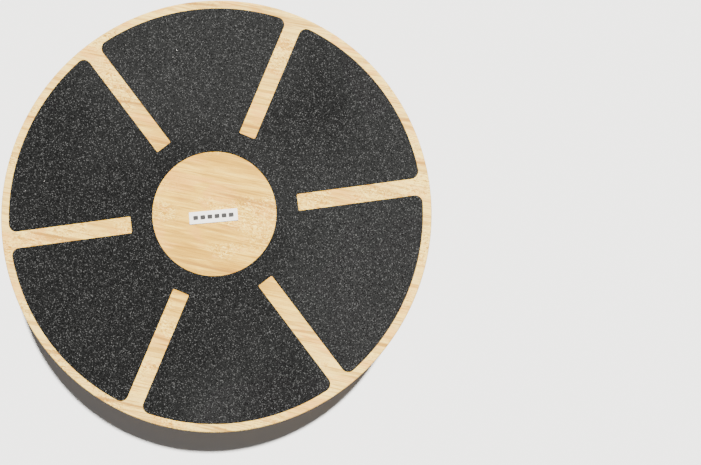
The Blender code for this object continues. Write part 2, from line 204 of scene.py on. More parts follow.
class Look:
    """One procedural material, with short calls for the nodes that it is made of."""

    def __init__(self, name, **settings):
        self.material = bpy.data.materials.new(name)
        self.material.use_nodes = True
        self.nodes = self.material.node_tree.nodes
        self.links = self.material.node_tree.links
        self.shader = self.nodes["Principled BSDF"]
        self.here = self.node("ShaderNodeTexCoord").outputs["Object"]
        for key, value in settings.items():
            self.shader.inputs[key.replace("_", " ")].default_value = value

    def node(self, kind, **settings):
        made = self.nodes.new(kind)
        for key, value in settings.items():
            setattr(made, key, value)
        return made

    def feed(self, socket, value):
        """Links an output to a socket, or gives the socket a value of its own."""
        if isinstance(value, bpy.types.NodeSocket):
            self.links.new(value, socket)
        else:
            socket.default_value = value

    def steps(self, size, turn=0.0, shift=(0.0, 0.0, 0.0)):
        """The place on the board, counted in steps of these sizes along axes turned about Z."""
        mapping = self.node("ShaderNodeMapping", vector_type="TEXTURE")
        self.feed(mapping.inputs["Vector"], self.here)
        mapping.inputs["Scale"].default_value = size
        mapping.inputs["Rotation"].default_value = (0.0, 0.0, turn)
        mapping.inputs["Location"].default_value = shift
        return mapping.outputs["Vector"]

    def noise(self, where, detail=2.0, roughness=0.5, distortion=0.0):
        made = self.node("ShaderNodeTexNoise")
        self.feed(made.inputs["Vector"], where)
        made.inputs["Scale"].default_value = 1.0
        made.inputs["Detail"].default_value = detail
        made.inputs["Roughness"].default_value = roughness
        made.inputs["Distortion"].default_value = distortion
        return made.outputs["Fac"]

    def bands(self, where, distortion, detail=2.0, detail_scale=1.0):
        """Light and dark bands across the Y steps, bent by noise."""
        made = self.node("ShaderNodeTexWave", bands_direction="Y")
        self.feed(made.inputs["Vector"], where)
        made.inputs["Scale"].default_value = 1.0
        made.inputs["Distortion"].default_value = distortion
        made.inputs["Detail"].default_value = detail
        made.inputs["Detail Scale"].default_value = detail_scale
        return made.outputs["Fac"]

    def cells(self, where, output="Distance", feature="F1"):
        made = self.node("ShaderNodeTexVoronoi", feature=feature)
        self.feed(made.inputs["Vector"], where)
        made.inputs["Scale"].default_value = 1.0
        return made.outputs[output]

    def remap(self, value, start, end, low=0.0, high=1.0):
        """Goes smoothly from low to high while the value goes from start to end."""
        made = self.node("ShaderNodeMapRange", interpolation_type="SMOOTHSTEP")
        names = ("Value", "From Min", "From Max", "To Min", "To Max")
        for name, given in zip(names, (value, start, end, low, high)):
            self.feed(made.inputs[name], given)
        return made.outputs["Result"]

    def combine(self, operation, first, second=0.5):
        made = self.node("ShaderNodeMath", operation=operation)
        self.feed(made.inputs[0], first)
        self.feed(made.inputs[1], second)
        return made.outputs["Value"]

    def blend(self, share, first, second):
        """Colours mixed by a share from 0, all first, to 1, all second."""
        made = self.node("ShaderNodeMix", data_type="RGBA")
        self.feed(made.inputs[0], share)
        self.feed(made.inputs[6], first if isinstance(first, bpy.types.NodeSocket) else (*first, 1.0))
        self.feed(made.inputs[7], second if isinstance(second, bpy.types.NodeSocket) else (*second, 1.0))
        return made.outputs[2]

    def color(self, value):
        self.feed(self.shader.inputs["Base Color"], value)

    def roughness(self, value):
        self.feed(self.shader.inputs["Roughness"], value)

    def bump(self, height, depth):
        """Adds fine relief. The surface rises by the depth, in metres, where the height goes from 0 to 1."""
        made = self.node("ShaderNodeBump")
        made.inputs["Distance"].default_value = depth
        self.feed(made.inputs["Height"], height)
        before = self.shader.inputs["Normal"]
        if before.is_linked:
            self.feed(made.inputs["Normal"], before.links[0].from_socket)
        self.feed(before, made.outputs["Normal"])


def add_pores(look, color, turn, length, width, tint, depth):
    """Short dark pores along the grain, cut a little into the surface. Returns the colour with them in it."""
    pores = look.remap(look.noise(look.steps((length, width, width), turn), 1.0), 0.62, 0.74)
    look.bump(look.combine("SUBTRACT", 1.0, pores), depth)
    return look.blend(look.combine("MULTIPLY", pores, tint), color, (0.30, 0.17, 0.08))


def from_middle(look):
    """The distance from the board's middle, along the deck."""
    length = look.node("ShaderNodeVectorMath", operation="LENGTH")
    look.feed(length.inputs[0], look.steps((1.0, 1.0, 1000.0)))
    return length.outputs["Value"]


def near_line(look, place, reach):
    """Goes from 1 on the line across the grain at this X to 0 at its reach on both sides."""
    apart = look.node("ShaderNodeSeparateXYZ")
    look.feed(apart.inputs[0], look.here)
    offset = look.combine("SUBTRACT", apart.outputs["X"], place)
    return look.remap(look.combine("ABSOLUTE", offset), 0.0, reach, 1.0, 0.0)


def birch_look():
    """Golden birch with clouds, flecks, streaks and thin lines along the grain, and painted light that makes
    it paler towards the rim.
    """
    look = Look("birch_face", Specular_IOR_Level=0.06)
    turn = math.radians(-19)
    clouds = look.noise(look.steps((0.085, 0.024, 0.024), turn), 3.0, 0.55, 0.8)
    color = look.blend(look.remap(clouds, 0.36, 0.64), (0.560, 0.310, 0.034), (0.780, 0.485, 0.066))
    # Painted light: the wood grows paler from the middle out to the rim, a brightening that stands in for
    # light rather than the wood's own tone.
    color = look.blend(look.remap(from_middle(look), 0.055, 0.200, 0.0, 0.60), color, (1.000, 0.760, 0.250))
    blush = look.noise(look.steps((0.040, 0.018, 0.018), turn, (0.2, 0.7, 0.0)), 2.0, 0.5, 1.0)
    color = look.blend(look.remap(blush, 0.48, 0.64, 0.0, 0.65), color, (0.760, 0.370, 0.075))
    broad = look.noise(look.steps((0.055, 0.0034, 0.0034), turn), 3.0, 0.6, 0.5)
    color = look.blend(look.remap(broad, 0.50, 0.66, 0.0, 0.65), color, (0.440, 0.235, 0.026))
    color = look.blend(look.remap(broad, 0.48, 0.36, 0.0, 0.60), color, (0.930, 0.653, 0.122))
    patches = look.noise(look.steps((0.050, 0.034, 0.034), turn, (0.9, 0.3, 0.0)), 1.0)
    patches = look.remap(patches, 0.46, 0.60)
    flecks = look.noise(look.steps((0.0034, 0.0022, 0.0022), turn), 3.0, 0.65, 1.6)
    bright = look.combine("MULTIPLY", look.remap(flecks, 0.50, 0.62), patches)
    color = look.blend(look.combine("MULTIPLY", bright, 0.95), color, (1.000, 0.749, 0.194))
    shade = look.combine("MULTIPLY", look.remap(flecks, 0.47, 0.36), look.combine("ADD", patches, 0.25))
    color = look.blend(look.combine("MULTIPLY", shade, 0.80), color, (0.400, 0.211, 0.024))
    streaks = look.noise(look.steps((0.040, 0.0011, 0.0011), turn), 2.0, 0.55, 0.2)
    color = look.blend(look.remap(streaks, 0.50, 0.68, 0.0, 0.65), color, (0.380, 0.192, 0.024))
    lines = look.bands(look.steps((0.30, 0.110, 0.110), turn), 2.6, 2.0, 1.6)
    near = look.noise(look.steps((0.09, 0.03, 0.03), turn, (0.4, 0.1, 0.0)), 1.0)
    lines = look.combine("MULTIPLY", look.remap(lines, 0.972, 1.0), look.remap(near, 0.42, 0.58))
    color = look.blend(look.combine("MULTIPLY", lines, 0.75), color, (0.330, 0.149, 0.026))
    look.color(add_pores(look, color, turn, 0.0045, 0.00028, 0.20, 0.00003))
    look.roughness(look.remap(clouds, 0.3, 0.7, 0.60, 0.50))
    look.bump(streaks, 0.00004)
    return look.material


def back_veneer_look():
    """Pinkish-brown veneer: dense streaks, open pores, and faint dotted lines over the core's joints."""
    look = Look("back_veneer", Specular_IOR_Level=0.06)
    clouds = look.noise(look.steps((0.140, 0.050, 0.050)), 3.0, 0.55, 0.5)
    color = look.blend(look.remap(clouds, 0.34, 0.66), (0.640, 0.275, 0.040), (0.800, 0.420, 0.076))
    streaks = look.noise(look.steps((0.0130, 0.0009, 0.0009)), 2.0, 0.6, 0.30)
    color = look.blend(look.remap(streaks, 0.38, 0.50, 1.0, 0.0), color, (1.000, 0.640, 0.180))
    color = look.blend(look.remap(streaks, 0.52, 0.66, 0.0, 0.95), color, (0.250, 0.118, 0.034))
    dots = look.remap(look.noise(look.steps((0.0200, 0.0013, 0.0013)), 1.0), 0.45, 0.62)
    for place in CORE_JOINTS:
        line = look.combine("MULTIPLY", near_line(look, place, 0.0005), dots)
        color = look.blend(look.combine("MULTIPLY", line, 0.65), color, (0.300, 0.110, 0.020))
    look.color(add_pores(look, color, 0.0, 0.0060, 0.00035, 0.45, 0.00006))
    look.roughness(look.remap(streaks, 0.3, 0.7, 0.50, 0.62))
    look.bump(streaks, 0.00010)
    return look.material


def core_ply_look(name, grain):
    """A core veneer's sanded edge: long fibres where it runs along the grain, darker end grain across it."""
    look = Look(name, Specular_IOR_Level=0.12)
    place = look.node("ShaderNodeSeparateXYZ")
    look.feed(place.inputs[0], look.here)
    squares = [look.combine("MULTIPLY", place.outputs[axis], place.outputs[axis]) for axis in ("X", "Y")]
    share = look.combine("DIVIDE", squares[grain == "Y"], look.combine("ADD", *squares))
    clouds = look.noise(look.steps((0.030, 0.030, 0.004)), 2.0)
    light = look.blend(clouds, (0.480, 0.270, 0.095), (0.620, 0.390, 0.160))
    fibres = look.noise(look.steps((0.010, 0.010, 0.00022)), 2.0, 0.6, 0.2)
    light = look.blend(look.remap(fibres, 0.5, 0.75, 0.0, 0.5), light, (0.340, 0.165, 0.060))
    dots = look.noise(look.steps((0.00045, 0.00045, 0.00030)), 2.0, 0.7)
    dark = look.blend(look.remap(dots, 0.35, 0.65), (0.230, 0.105, 0.038), (0.440, 0.235, 0.090))
    look.color(look.blend(look.remap(share, 0.25, 0.75), light, dark))
    look.roughness(look.remap(dots, 0.3, 0.7, 0.55, 0.72))
    look.bump(look.combine("ADD", fibres, dots), 0.00005)
    return look.material


def glue_look():
    look = Look("glue_line", Roughness=0.55)
    patches = look.noise(look.steps((0.006, 0.006, 0.006)), 2.0)
    look.color(look.blend(look.remap(patches, 0.3, 0.7), (0.055, 0.026, 0.012), (0.120, 0.060, 0.028)))
    return look.material


def grit_look():
    """Black mineral grit: fine grains, some bright and some darkened as painted shade in the gaps between
    them, with a slow random drift in tone and painted sheen that makes it paler towards +X.
    """
    look = Look("grit", Specular_IOR_Level=0.04)
    tone = look.node("ShaderNodeSeparateXYZ")
    look.feed(tone.inputs[0], look.cells(look.steps((GRIT_CELL,) * 3), "Color"))
    clumps = look.noise(look.steps((0.0013, 0.0013, 0.0013)), 2.0, 0.7)
    side = look.node("ShaderNodeSeparateXYZ")
    look.feed(side.inputs[0], look.here)
    # A slow random drift in tone; the slope along X added to it is painted sheen.
    tone_drift_and_painted_sheen = look.noise(look.steps((0.170, 0.170, 0.170), 0.4, (0.03, 0.0, 0.0)), 2.0)
    tone_drift_and_painted_sheen = look.combine("ADD", tone_drift_and_painted_sheen, look.combine("MULTIPLY", side.outputs["X"], GRIT_PAINTED_SHEEN_SLOPE))
    color = look.blend(look.remap(clumps, 0.36, 0.64), (0.0048, 0.0051, 0.0054), (0.0106, 0.0112, 0.0119))
    # Painted sheen, partly random tone: paler where the drift and the slope along X are high.
    color = look.blend(look.remap(tone_drift_and_painted_sheen, 0.36, 0.66, 0.0, 0.62), color, (0.0186, 0.0197, 0.0208))
    # Painted shade: random cells darkened nearly to black, standing in for shade in the gaps between grains.
    color = look.blend(look.remap(tone.outputs["Z"], 0.34, 0.06, 0.0, 0.80), color, (0.0008, 0.0008, 0.0010))
    color = look.blend(look.remap(tone.outputs["X"], 0.84, 1.0, 0.0, 1.0), color, (0.0660, 0.0690, 0.0720))
    look.color(color)
    look.roughness(look.remap(tone.outputs["Y"], 0.0, 1.0, 0.60, 0.95))
    fine = look.steps((0.00055, 0.00055, 0.00055))
    look.bump(look.combine("SUBTRACT", 1.0, look.cells(fine)), 0.00022)
    look.bump(clumps, 0.00025)
    return look.material


def film_look():
    look = Look("grit_film", Specular_IOR_Level=0.1, Roughness=0.6)
    cloudy = look.noise(look.steps((0.004, 0.004, 0.004)), 2.0)
    look.color(look.blend(cloudy, (0.0020, 0.0020, 0.0020), (0.0045, 0.0043, 0.0040)))
    return look.material


def grain_look():
    """The largest grains, whose broken faces catch the light."""
    look = Look("grit_grain", Specular_IOR_Level=0.5)
    tone = look.node("ShaderNodeSeparateXYZ")
    look.feed(tone.inputs[0], look.cells(look.steps((0.0011, 0.0011, 0.0011)), "Color"))
    share = look.remap(tone.outputs["X"], 0.45, 1.0)
    look.color(look.blend(share, (0.008, 0.008, 0.009), (0.120, 0.121, 0.124)))
    look.roughness(look.remap(tone.outputs["Y"], 0.0, 1.0, 0.22, 0.50))
    return look.material


def label_look():
    look = Look("label_white", Coat_Weight=0.35, Coat_Roughness=0.12)
    cloudy = look.noise(look.steps((0.012, 0.006, 0.006)), 2.0)
    look.color(look.blend(cloudy, (0.90, 0.90, 0.89), (0.84, 0.84, 0.83)))
    look.roughness(look.remap(cloudy, 0.3, 0.7, 0.30, 0.38))
    return look.material


def label_ink_look():
    look = Look("label_ink", Roughness=0.4)
    cloudy = look.noise(look.steps((0.002, 0.002, 0.002)), 1.0)
    look.color(look.blend(cloudy, (0.012, 0.012, 0.014), (0.030, 0.030, 0.032)))
    return look.material


def satin_plastic_look():
    """Black moulding with a satin face: flow marks, and fine scuffs from handling."""
    look = Look("base_satin", Specular_IOR_Level=0.5)
    flow = look.noise(look.steps((0.020, 0.009, 0.012), 0.6), 4.0, 0.6, 1.8)
    scuffs = look.noise(look.steps((0.0080, 0.0007, 0.0040), 0.9), 2.0, 0.6)
    color = look.blend(look.remap(flow, 0.35, 0.70), (0.014, 0.014, 0.016), (0.028, 0.028, 0.031))
    look.color(look.blend(look.remap(scuffs, 0.62, 0.80, 0.0, 0.4), color, (0.070, 0.070, 0.074)))
    look.roughness(look.remap(flow, 0.30, 0.72, 0.30, 0.50))
    look.bump(flow, 0.00006)
    look.bump(look.noise(look.steps((0.0004, 0.0004, 0.0004)), 1.0), 0.00001)
    return look.material


def dome_look():
    """The dome's black grained skin. The mesh has large pebbles, and this adds small ones and roughness."""
    look = Look("base_grain", Specular_IOR_Level=0.40)
    cloudy = look.noise(look.steps((0.030, 0.030, 0.030)), 3.0, 0.6)
    fine = look.noise(look.steps((0.00035, 0.00035, 0.00035)), 2.0)
    color = look.blend(look.remap(cloudy, 0.3, 0.7), (0.0060, 0.0058, 0.0055), (0.0130, 0.0125, 0.0118))
    look.color(look.blend(look.remap(fine, 0.62, 0.80, 0.0, 0.3), color, (0.055, 0.053, 0.050)))
    look.roughness(look.remap(fine, 0.3, 0.7, 0.34, 0.50))
    pebbles = look.cells(look.steps((FINE_PEBBLE_SIZE,) * 3), feature="DISTANCE_TO_EDGE")
    look.bump(look.remap(pebbles, 0.0, 0.30), 0.00010)
    look.bump(fine, 0.00002)
    return look.material


def steel_look():
    """Zinc-plated steel with faint stains and a fine bump."""
    look = Look("screw_steel", Metallic=1.0)
    stains = look.noise(look.steps((0.0016, 0.0016, 0.0016)), 3.0, 0.6)
    look.color(look.blend(look.remap(stains, 0.35, 0.70), (0.66, 0.66, 0.64), (0.50, 0.49, 0.46)))
    look.roughness(look.remap(stains, 0.30, 0.75, 0.18, 0.36))
    look.bump(look.noise(look.steps((0.0003, 0.0003, 0.0003)), 1.0), 0.000008)
    return look.material


def floor_look():
    look = Look("floor_paint", Specular_IOR_Level=0.1, Roughness=0.9)
    cloudy = look.noise(look.steps((0.30, 0.30, 0.30)), 2.0)
    look.color(look.blend(cloudy, (0.87, 0.90, 0.94), (0.88, 0.91, 0.95)))
    return look.material


# ---- mesh helpers

def circle_angles(count, start=0.0):
    return [start + 2 * math.pi * index / count for index in range(count)]


def around(radius, angle, height=0.0):
    return Vector((radius * math.cos(angle), radius * math.sin(angle), height))


def rotated(point, angle):
    x, y = point
    return (x * math.cos(angle) - y * math.sin(angle), x * math.sin(angle) + y * math.cos(angle))


def arc(centre_x, centre_y, radius, start, end, steps):
    """Points along an arc, both ends included, with angles in radians."""
    turn = (end - start) / steps
    return [
        (centre_x + radius * math.cos(start + turn * i), centre_y + radius * math.sin(start + turn * i))
        for i in range(steps + 1)
    ]


def turned(name, profile, segments):
    """A mesh turned about Z from (radius, height) points, which run down its outer side."""
    work = bmesh.new()
    angles = circle_angles(segments)
    rows = []
    for radius, height in profile:
        if radius > 0.0:
            rows.append([work.verts.new(around(radius, angle, height)) for angle in angles])
        else:
            rows.append([work.verts.new((0.0, 0.0, height))] * segments)
    for upper, lower in zip(rows, rows[1:]):
        for index in range(segments):
            after = (index + 1) % segments
            corners = (upper[index], lower[index], lower[after], upper[after])
            work.faces.new(dict.fromkeys(corners))
    bmesh.ops.remove_doubles(work, verts=work.verts, dist=WELD)
    mesh = bpy.data.meshes.new(name)
    work.to_mesh(mesh)
    work.free()
    return mesh


def flat_plate(name, outlines, low, high, edge_round=0.0):
    """A flat plate between two heights, with rounded edges if asked. Outlines after the first are holes."""
    curve = bpy.data.curves.new(name, "CURVE")
    curve.dimensions = "2D"
    curve.fill_mode = "BOTH"
    curve.extrude = (high - low) / 2 - edge_round
    curve.bevel_depth = edge_round
    curve.bevel_resolution = 2
    curve.offset = -edge_round
    for outline in outlines:
        spline = curve.splines.new("POLY")
        spline.points.add(len(outline) - 1)
        for point, (x, y) in zip(spline.points, outline):
            point.co = (x, y, 0.0, 1.0)
        spline.use_cyclic_u = True
    drawn = bpy.data.objects.new(name + "_outline", curve)
    mesh = mesh_of(drawn)
    mesh.transform(Matrix.Translation((0.0, 0.0, (low + high) / 2)))
    return mesh


def mesh_of(source):
    """The welded mesh that an object's curve settings or modifiers make. The object itself is used up."""
    bpy.context.scene.collection.objects.link(source)
    bpy.context.view_layer.update()
    graph = bpy.context.evaluated_depsgraph_get()
    mesh = bpy.data.meshes.new_from_object(source.evaluated_get(graph), depsgraph=graph)
    bpy.data.objects.remove(source, do_unlink=True)
    work = bmesh.new()
    work.from_mesh(mesh)
    bmesh.ops.remove_doubles(work, verts=work.verts, dist=WELD)
    work.to_mesh(mesh)
    work.free()
    return mesh


def add_piece(name, mesh, material, slot, *nodes, sharp=35):
    """Puts a piece on the board, with its material, in place of the CAD nodes named."""
    mesh.name = name
    mesh.materials.clear()
    mesh.materials.append(material)
    mesh.shade_smooth()
    mesh.set_sharp_from_angle(angle=math.radians(sharp))
    piece = bpy.data.objects.new(name, mesh)
    bpy.context.scene.collection.objects.link(piece)
    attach(piece, "root")
    if nodes:
        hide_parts(*nodes)


# ---- plywood deck

def deck_edge_radius(height):
    """Radius of the deck's edge at a height. The edge is rounded beside both faces."""
    into_rounding = DECK_EDGE_ROUND - min(height - DECK_BOTTOM, DECK_TOP - height)
    if into_rounding <= 0.0:
        return DECK_RADIUS
    return DECK_RADIUS - DECK_EDGE_ROUND + math.sqrt(max(DECK_EDGE_ROUND**2 - into_rounding**2, 0.0))


def edge_profile(low, high, recess, steps=8):
    """Points down the deck's edge between two heights, closer together near both of them."""
    shares = [(1 - math.cos(math.pi * index / steps)) / 2 for index in range(steps + 1)]
    heights = [high + (low - high) * share for share in shares]
    return [(deck_edge_radius(height) - recess, height) for height in heights]


def add_veneers(face, back, cores):
    """Nine veneers. The core plies' grain runs along X and Y by turns."""
    looks = {"top_veneer": (face, "face_veneer_wood"), "bottom_veneer": (back, "back_veneer_wood")}
    for index, node in enumerate(VENEERS):
        low, high = (corner.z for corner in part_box(node))
        profile = [(0.0, high), *edge_profile(low, high, 0.0), (0.0, low)]
        material, slot = looks.get(node, (cores[index % 2], "core_wood"))
        add_piece("deck_" + node, turned(node, profile, FINE), material, slot, node)


def add_glue_lines(glue):
    """Dark glue in the joints between the veneers, set back a little from the sanded edge."""
    for index, (lower, upper) in enumerate(zip(VENEERS, VENEERS[1:])):
        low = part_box(lower)[1].z
        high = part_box(upper)[0].z
        edge = edge_profile(low, high, GLUE_RECESS, 1)
        inner = DECK_RADIUS - GLUE_RING_WIDTH
        profile = [(inner, high), *edge, (inner, low), (inner, high)]
        name = f"glue_line_{index + 1}"
        add_piece(name, turned(name, profile, FINE), glue, "core_wood")


# ---- grit sheet

def lobe_outline(middle):
    """One lobe of the grit sheet and the slot before it, as points that run anticlockwise."""
    half_slot = SLOT_WIDTH / 2
    along, corner_turn = lobe_corner()
    slot_end = SLOT_INNER_END + SLOT_INNER_ROUND
    slot_corner = arc(slot_end, half_slot - SLOT_INNER_ROUND, SLOT_INNER_ROUND, math.pi, math.pi / 2, 5)
    corner = arc(along, half_slot + LOBE_CORNER_ROUND, LOBE_CORNER_ROUND, -math.pi / 2, corner_turn, 10)
    beside_slot = slot_corner + corner
    pitch = 2 * math.pi / SLOT_COUNT
    rim = arc(0.0, 0.0, GRIP_RADIUS, corner_turn, pitch - corner_turn, 50)[1:-1]
    far_side = [rotated((x, -y), pitch) for x, y in reversed(beside_slot)]
    return [rotated(point, middle) for point in beside_slot + rim + far_side]


def lobe_corner():
    """Where a lobe's outer corner has its centre along the slot, and how far round the rim it ends."""
    across = SLOT_WIDTH / 2 + LOBE_CORNER_ROUND
    along = math.sqrt((GRIP_RADIUS - LOBE_CORNER_ROUND) ** 2 - across**2)
    return along, math.atan2(across, along)


def grip_outlines():
    outline = []
    for angle in circle_angles(SLOT_COUNT):
        outline += lobe_outline(angle)
    opening = arc(0.0, 0.0, GRIP_OPENING_RADIUS, 0.0, 2 * math.pi, FINE // 2)[:-1]
    return [outline, opening]


def on_grit(point, margin):
    """Whether a place on the deck is on the grit sheet, with a margin to its edges."""
    distance = math.hypot(*point)
    if not GRIP_OPENING_RADIUS + margin < distance < GRIP_RADIUS - margin:
        return False
    pitch = 2 * math.pi / SLOT_COUNT
    angle = math.atan2(point[1], point[0])
    along, across = rotated(point, -pitch * round(angle / pitch))
    across = abs(across)
    if across < SLOT_WIDTH / 2 + margin:
        return along < SLOT_INNER_END - margin
    corner_along, _ = lobe_corner()
    corner_across = SLOT_WIDTH / 2 + LOBE_CORNER_ROUND
    if along > corner_along and across < corner_across:
        return math.hypot(along - corner_along, across - corner_across) < LOBE_CORNER_ROUND - margin
    return True


def grain_mesh():
    """Thousands of loose octahedra, each turned its own way and sunk halfway into the grit."""
    random = np.random.default_rng(7)
    corners = np.array([(1, 0, 0), (-1, 0, 0), (0, 1, 0), (0, -1, 0), (0, 0, 1), (0, 0, -1)], float)
    sides = [(0, 2, 4), (2, 1, 4), (1, 3, 4), (3, 0, 4), (2, 0, 5), (1, 2, 5), (3, 1, 5), (0, 3, 5)]
    points = []
    faces = []
    while len(points) < GRAIN_COUNT * len(corners):
        x, y = random.uniform(-GRIP_RADIUS, GRIP_RADIUS, 2)
        size = random.uniform(*GRAIN_SIZES)
        stretch = random.uniform(*GRAIN_STRETCH, 3)
        turn = Euler(random.uniform(0.0, 2 * math.pi, 3)).to_matrix()
        if not on_grit((x, y), size):
            continue
        first = len(points)
        placed = (corners * stretch * size) @ np.array(turn) + (x, y, 0.0)
        placed[:, 2] += GRIP_TOP - placed[:, 2].max()
        points.extend(placed.tolist())
        faces.extend(tuple(first + corner for corner in side) for side in sides)
    mesh = bpy.data.meshes.new("grit_grains")
    mesh.from_pydata(points, [], faces)
    return mesh


def add_grip(film, grit, grain):
    outlines = grip_outlines()
    film_mesh = flat_plate("grip_film", outlines, DECK_TOP, FILM_TOP)
    add_piece("grip_film", film_mesh, film, "grit", "grip_sheet", sharp=PLATE_SHARP)
    grit_top = GRIP_TOP - GRAIN_SIZES[0]
    grit_mesh = flat_plate("grip_grit", outlines, FILM_TOP, grit_top, GRIT_INSET)
    add_piece("grip_grit", grit_mesh, grit, "grit", "grip_sheet", sharp=PLATE_SHARP)
    add_piece("grip_coarse_grains", grain_mesh(), grain, "grit", "grip_sheet", sharp=ALL_SHARP)


# ---- label

def rounded_rectangle(length, width, corner, steps):
    x = length / 2 - corner
    y = width / 2 - corner
    points = []
    for index, (side_x, side_y) in enumerate(((x, y), (-x, y), (-x, -y), (x, -y))):
        start = index * math.pi / 2
        points += arc(side_x, side_y, corner, start, start + math.pi / 2, steps)
    return points


def add_label(plate, ink):
    """A white plate with a row of plain dark blocks, and no words."""
    middle = (LABEL_LOW + LABEL_HIGH) / 2
    place = Matrix.Translation((middle.x, middle.y, 0.0)) @ Matrix.Rotation(LABEL_TURN, 4, "Z")
    whole = rounded_rectangle(LABEL_LENGTH, LABEL_WIDTH, LABEL_CORNER_ROUND, 5)
    plate_mesh = flat_plate("label", [whole], DECK_TOP, LABEL_HIGH.z - INK_RISE, LABEL_EDGE_ROUND)
    plate_mesh.transform(place)
    add_piece("label", plate_mesh, plate, "label_white", "label_plate", sharp=PLATE_SHARP)
    blocks = []
    for index in range(MARK_COUNT):
        along = (index - (MARK_COUNT - 1) / 2) * MARK_PITCH
        block = rounded_rectangle(*MARK_SIZE, MARK_CORNER_ROUND, 4)
        blocks.append([(x + along, y) for x, y in block])
    ink_mesh = flat_plate("label_marks", blocks, LABEL_HIGH.z - INK_THICKNESS, LABEL_HIGH.z)
    ink_mesh.transform(place)
    add_piece("label_marks", ink_mesh, ink, "label_white", "label_plate", sharp=PLATE_SHARP)


# ---- rocker base

def dome_points(count):
    """Places on the dome, evenly spread: a square grid is wrapped into a disc, and the disc over the cap."""
    across = np.linspace(-1.0, 1.0, count + 1)
    a, b = np.meshgrid(across, across, indexing="ij")
    wider = np.abs(a) > np.abs(b)
    radius = np.where(wider, a, b)
    safe = np.where(radius == 0.0, 1.0, radius)
    angle = np.where(wider, math.pi / 4 * b / safe, math.pi / 2 - math.pi / 4 * a / safe)
    cap = 1.0 - math.sqrt(1.0 - (NECK_RADIUS / DOME_RADIUS) ** 2)
    down = 1.0 - radius**2 * cap
    out = np.sqrt(1.0 - down**2) * np.sign(radius)
    return np.stack([out * np.cos(angle), out * np.sin(angle), -down], axis=-1).reshape(-1, 3)


def pebble_height(place):
    """How much of a grain's full height the skin has at a place: 1 on a pebble and 0 between pebbles."""
    first, second = noise.voronoi(place / PEBBLE_SIZE)[0][:2]
    share = min(max((second - first) / PEBBLE_SLOPE, 0.0), 1.0)
    return share * share * (3 - 2 * share)


def dome_mesh():
    """The grained cap that the board rocks on. Its grain fades out in a smooth band by the lip."""
    centre = Vector((0.0, 0.0, DOME_CENTRE))
    points = []
    for direction in map(Vector, dome_points(DOME_STEPS)):
        place = centre + direction * DOME_RADIUS
        fade = min(max((LIP_BOTTOM - place.z - SMOOTH_START) / SMOOTH_BAND, 0.0), 1.0)
        valley = (1.0 - pebble_height(place)) * PEBBLE_DEPTH * fade
        place = centre + direction * (DOME_RADIUS - valley)
        place.z = max(place.z, 0.0)
        points.append(place)
    row = DOME_STEPS + 1
    faces = [
        (first, first + 1, first + row + 1, first + row)
        for line in range(DOME_STEPS)
        for first in range(line * row, line * row + DOME_STEPS)
    ]
    mesh = bpy.data.meshes.new("base_dome")
    mesh.from_pydata(points, [], faces)
    return mesh


def neck_mesh():
    """The dome's lip and the neck above it, with a fillet where it meets the flange."""
    root = NECK_RADIUS + NECK_DRAFT
    bottom = FLANGE_FACE - NECK_ROOT_FILLET
    fillet = arc(root + NECK_ROOT_FILLET, bottom, NECK_ROOT_FILLET, math.pi / 2, math.pi, 8)
    lip = NECK_RADIUS + LIP_OVERHANG
    rounding = LIP_OVERHANG / 2
    profile = [
        (root + NECK_ROOT_FILLET + NECK_FOOT_REACH, FLANGE_FACE + NECK_FOOT_SINK),
        *fillet,
        (NECK_RADIUS, LIP_TOP + LIP_OVERHANG),
        (lip - LIP_BEVEL, LIP_TOP + LIP_BEVEL / 2),
        *arc(lip - rounding, LIP_BOTTOM + 2 * rounding, rounding, 0.0, -math.pi / 4, 4),
        (NECK_RADIUS, LIP_BOTTOM),
        (NECK_RADIUS - LIP_TUCK_REACH, LIP_BOTTOM - LIP_TUCK_DROP),
    ]
    return turned("base_neck", profile, FINE)


def flange_mesh():
    turn = 2 * math.pi
    rim = arc(0.0, 0.0, FLANGE_RADIUS, 0.0, turn, FINE)[:-1]
    outlines = [rim, arc(0.0, 0.0, NECK_RADIUS - FLANGE_UNDER_NECK, 0.0, turn, MEDIUM)[:-1]]
    hole_radius = COUNTERBORE_RADIUS + COUNTERBORE_CLEARANCE
    for angle in circle_angles(len(SCREWS)):
        place = around(SCREW_CIRCLE_RADIUS, angle)
        outlines.append(arc(place.x, place.y, hole_radius, 0.0, turn, SMALL)[:-1])
    return flat_plate("base_flange", outlines, FLANGE_FACE, BASE_TOP, FLANGE_ROUND)


def gusset_mesh(angle):
    """A thin triangular fin that runs into the flange and the neck, with softened edges."""
    inside = NECK_RADIUS - GUSSET_INTO_NECK
    top = FLANGE_FACE + GUSSET_INTO_FLANGE
    outline = [
        (inside, top),
        (inside, LIP_TOP + GUSSET_HEAD),
        (NECK_RADIUS + LIP_OVERHANG, LIP_TOP + GUSSET_HEAD),
        (GUSSET_REACH, FLANGE_FACE - GUSSET_TOE),
        (GUSSET_REACH, top),
    ]
    work = bmesh.new()
    side = work.faces.new([work.verts.new((x, y, -GUSSET_THICKNESS / 2)) for x, y in outline])
    pulled = bmesh.ops.extrude_face_region(work, geom=[side])["geom"]
    far_side = [thing for thing in pulled if isinstance(thing, bmesh.types.BMVert)]
    bmesh.ops.translate(work, verts=far_side, vec=(0.0, 0.0, GUSSET_THICKNESS))
    bmesh.ops.recalc_face_normals(work, faces=work.faces)
    bmesh.ops.bevel(work, geom=work.edges, offset=GUSSET_EDGE_ROUND, segments=3, profile=0.5, affect="EDGES")
    stand = Matrix.Rotation(angle, 4, "Z") @ Matrix.Rotation(math.pi / 2, 4, "X")
    bmesh.ops.transform(work, matrix=stand, verts=work.verts)
    mesh = bpy.data.meshes.new("gusset")
    work.to_mesh(mesh)
    work.free()
    return mesh


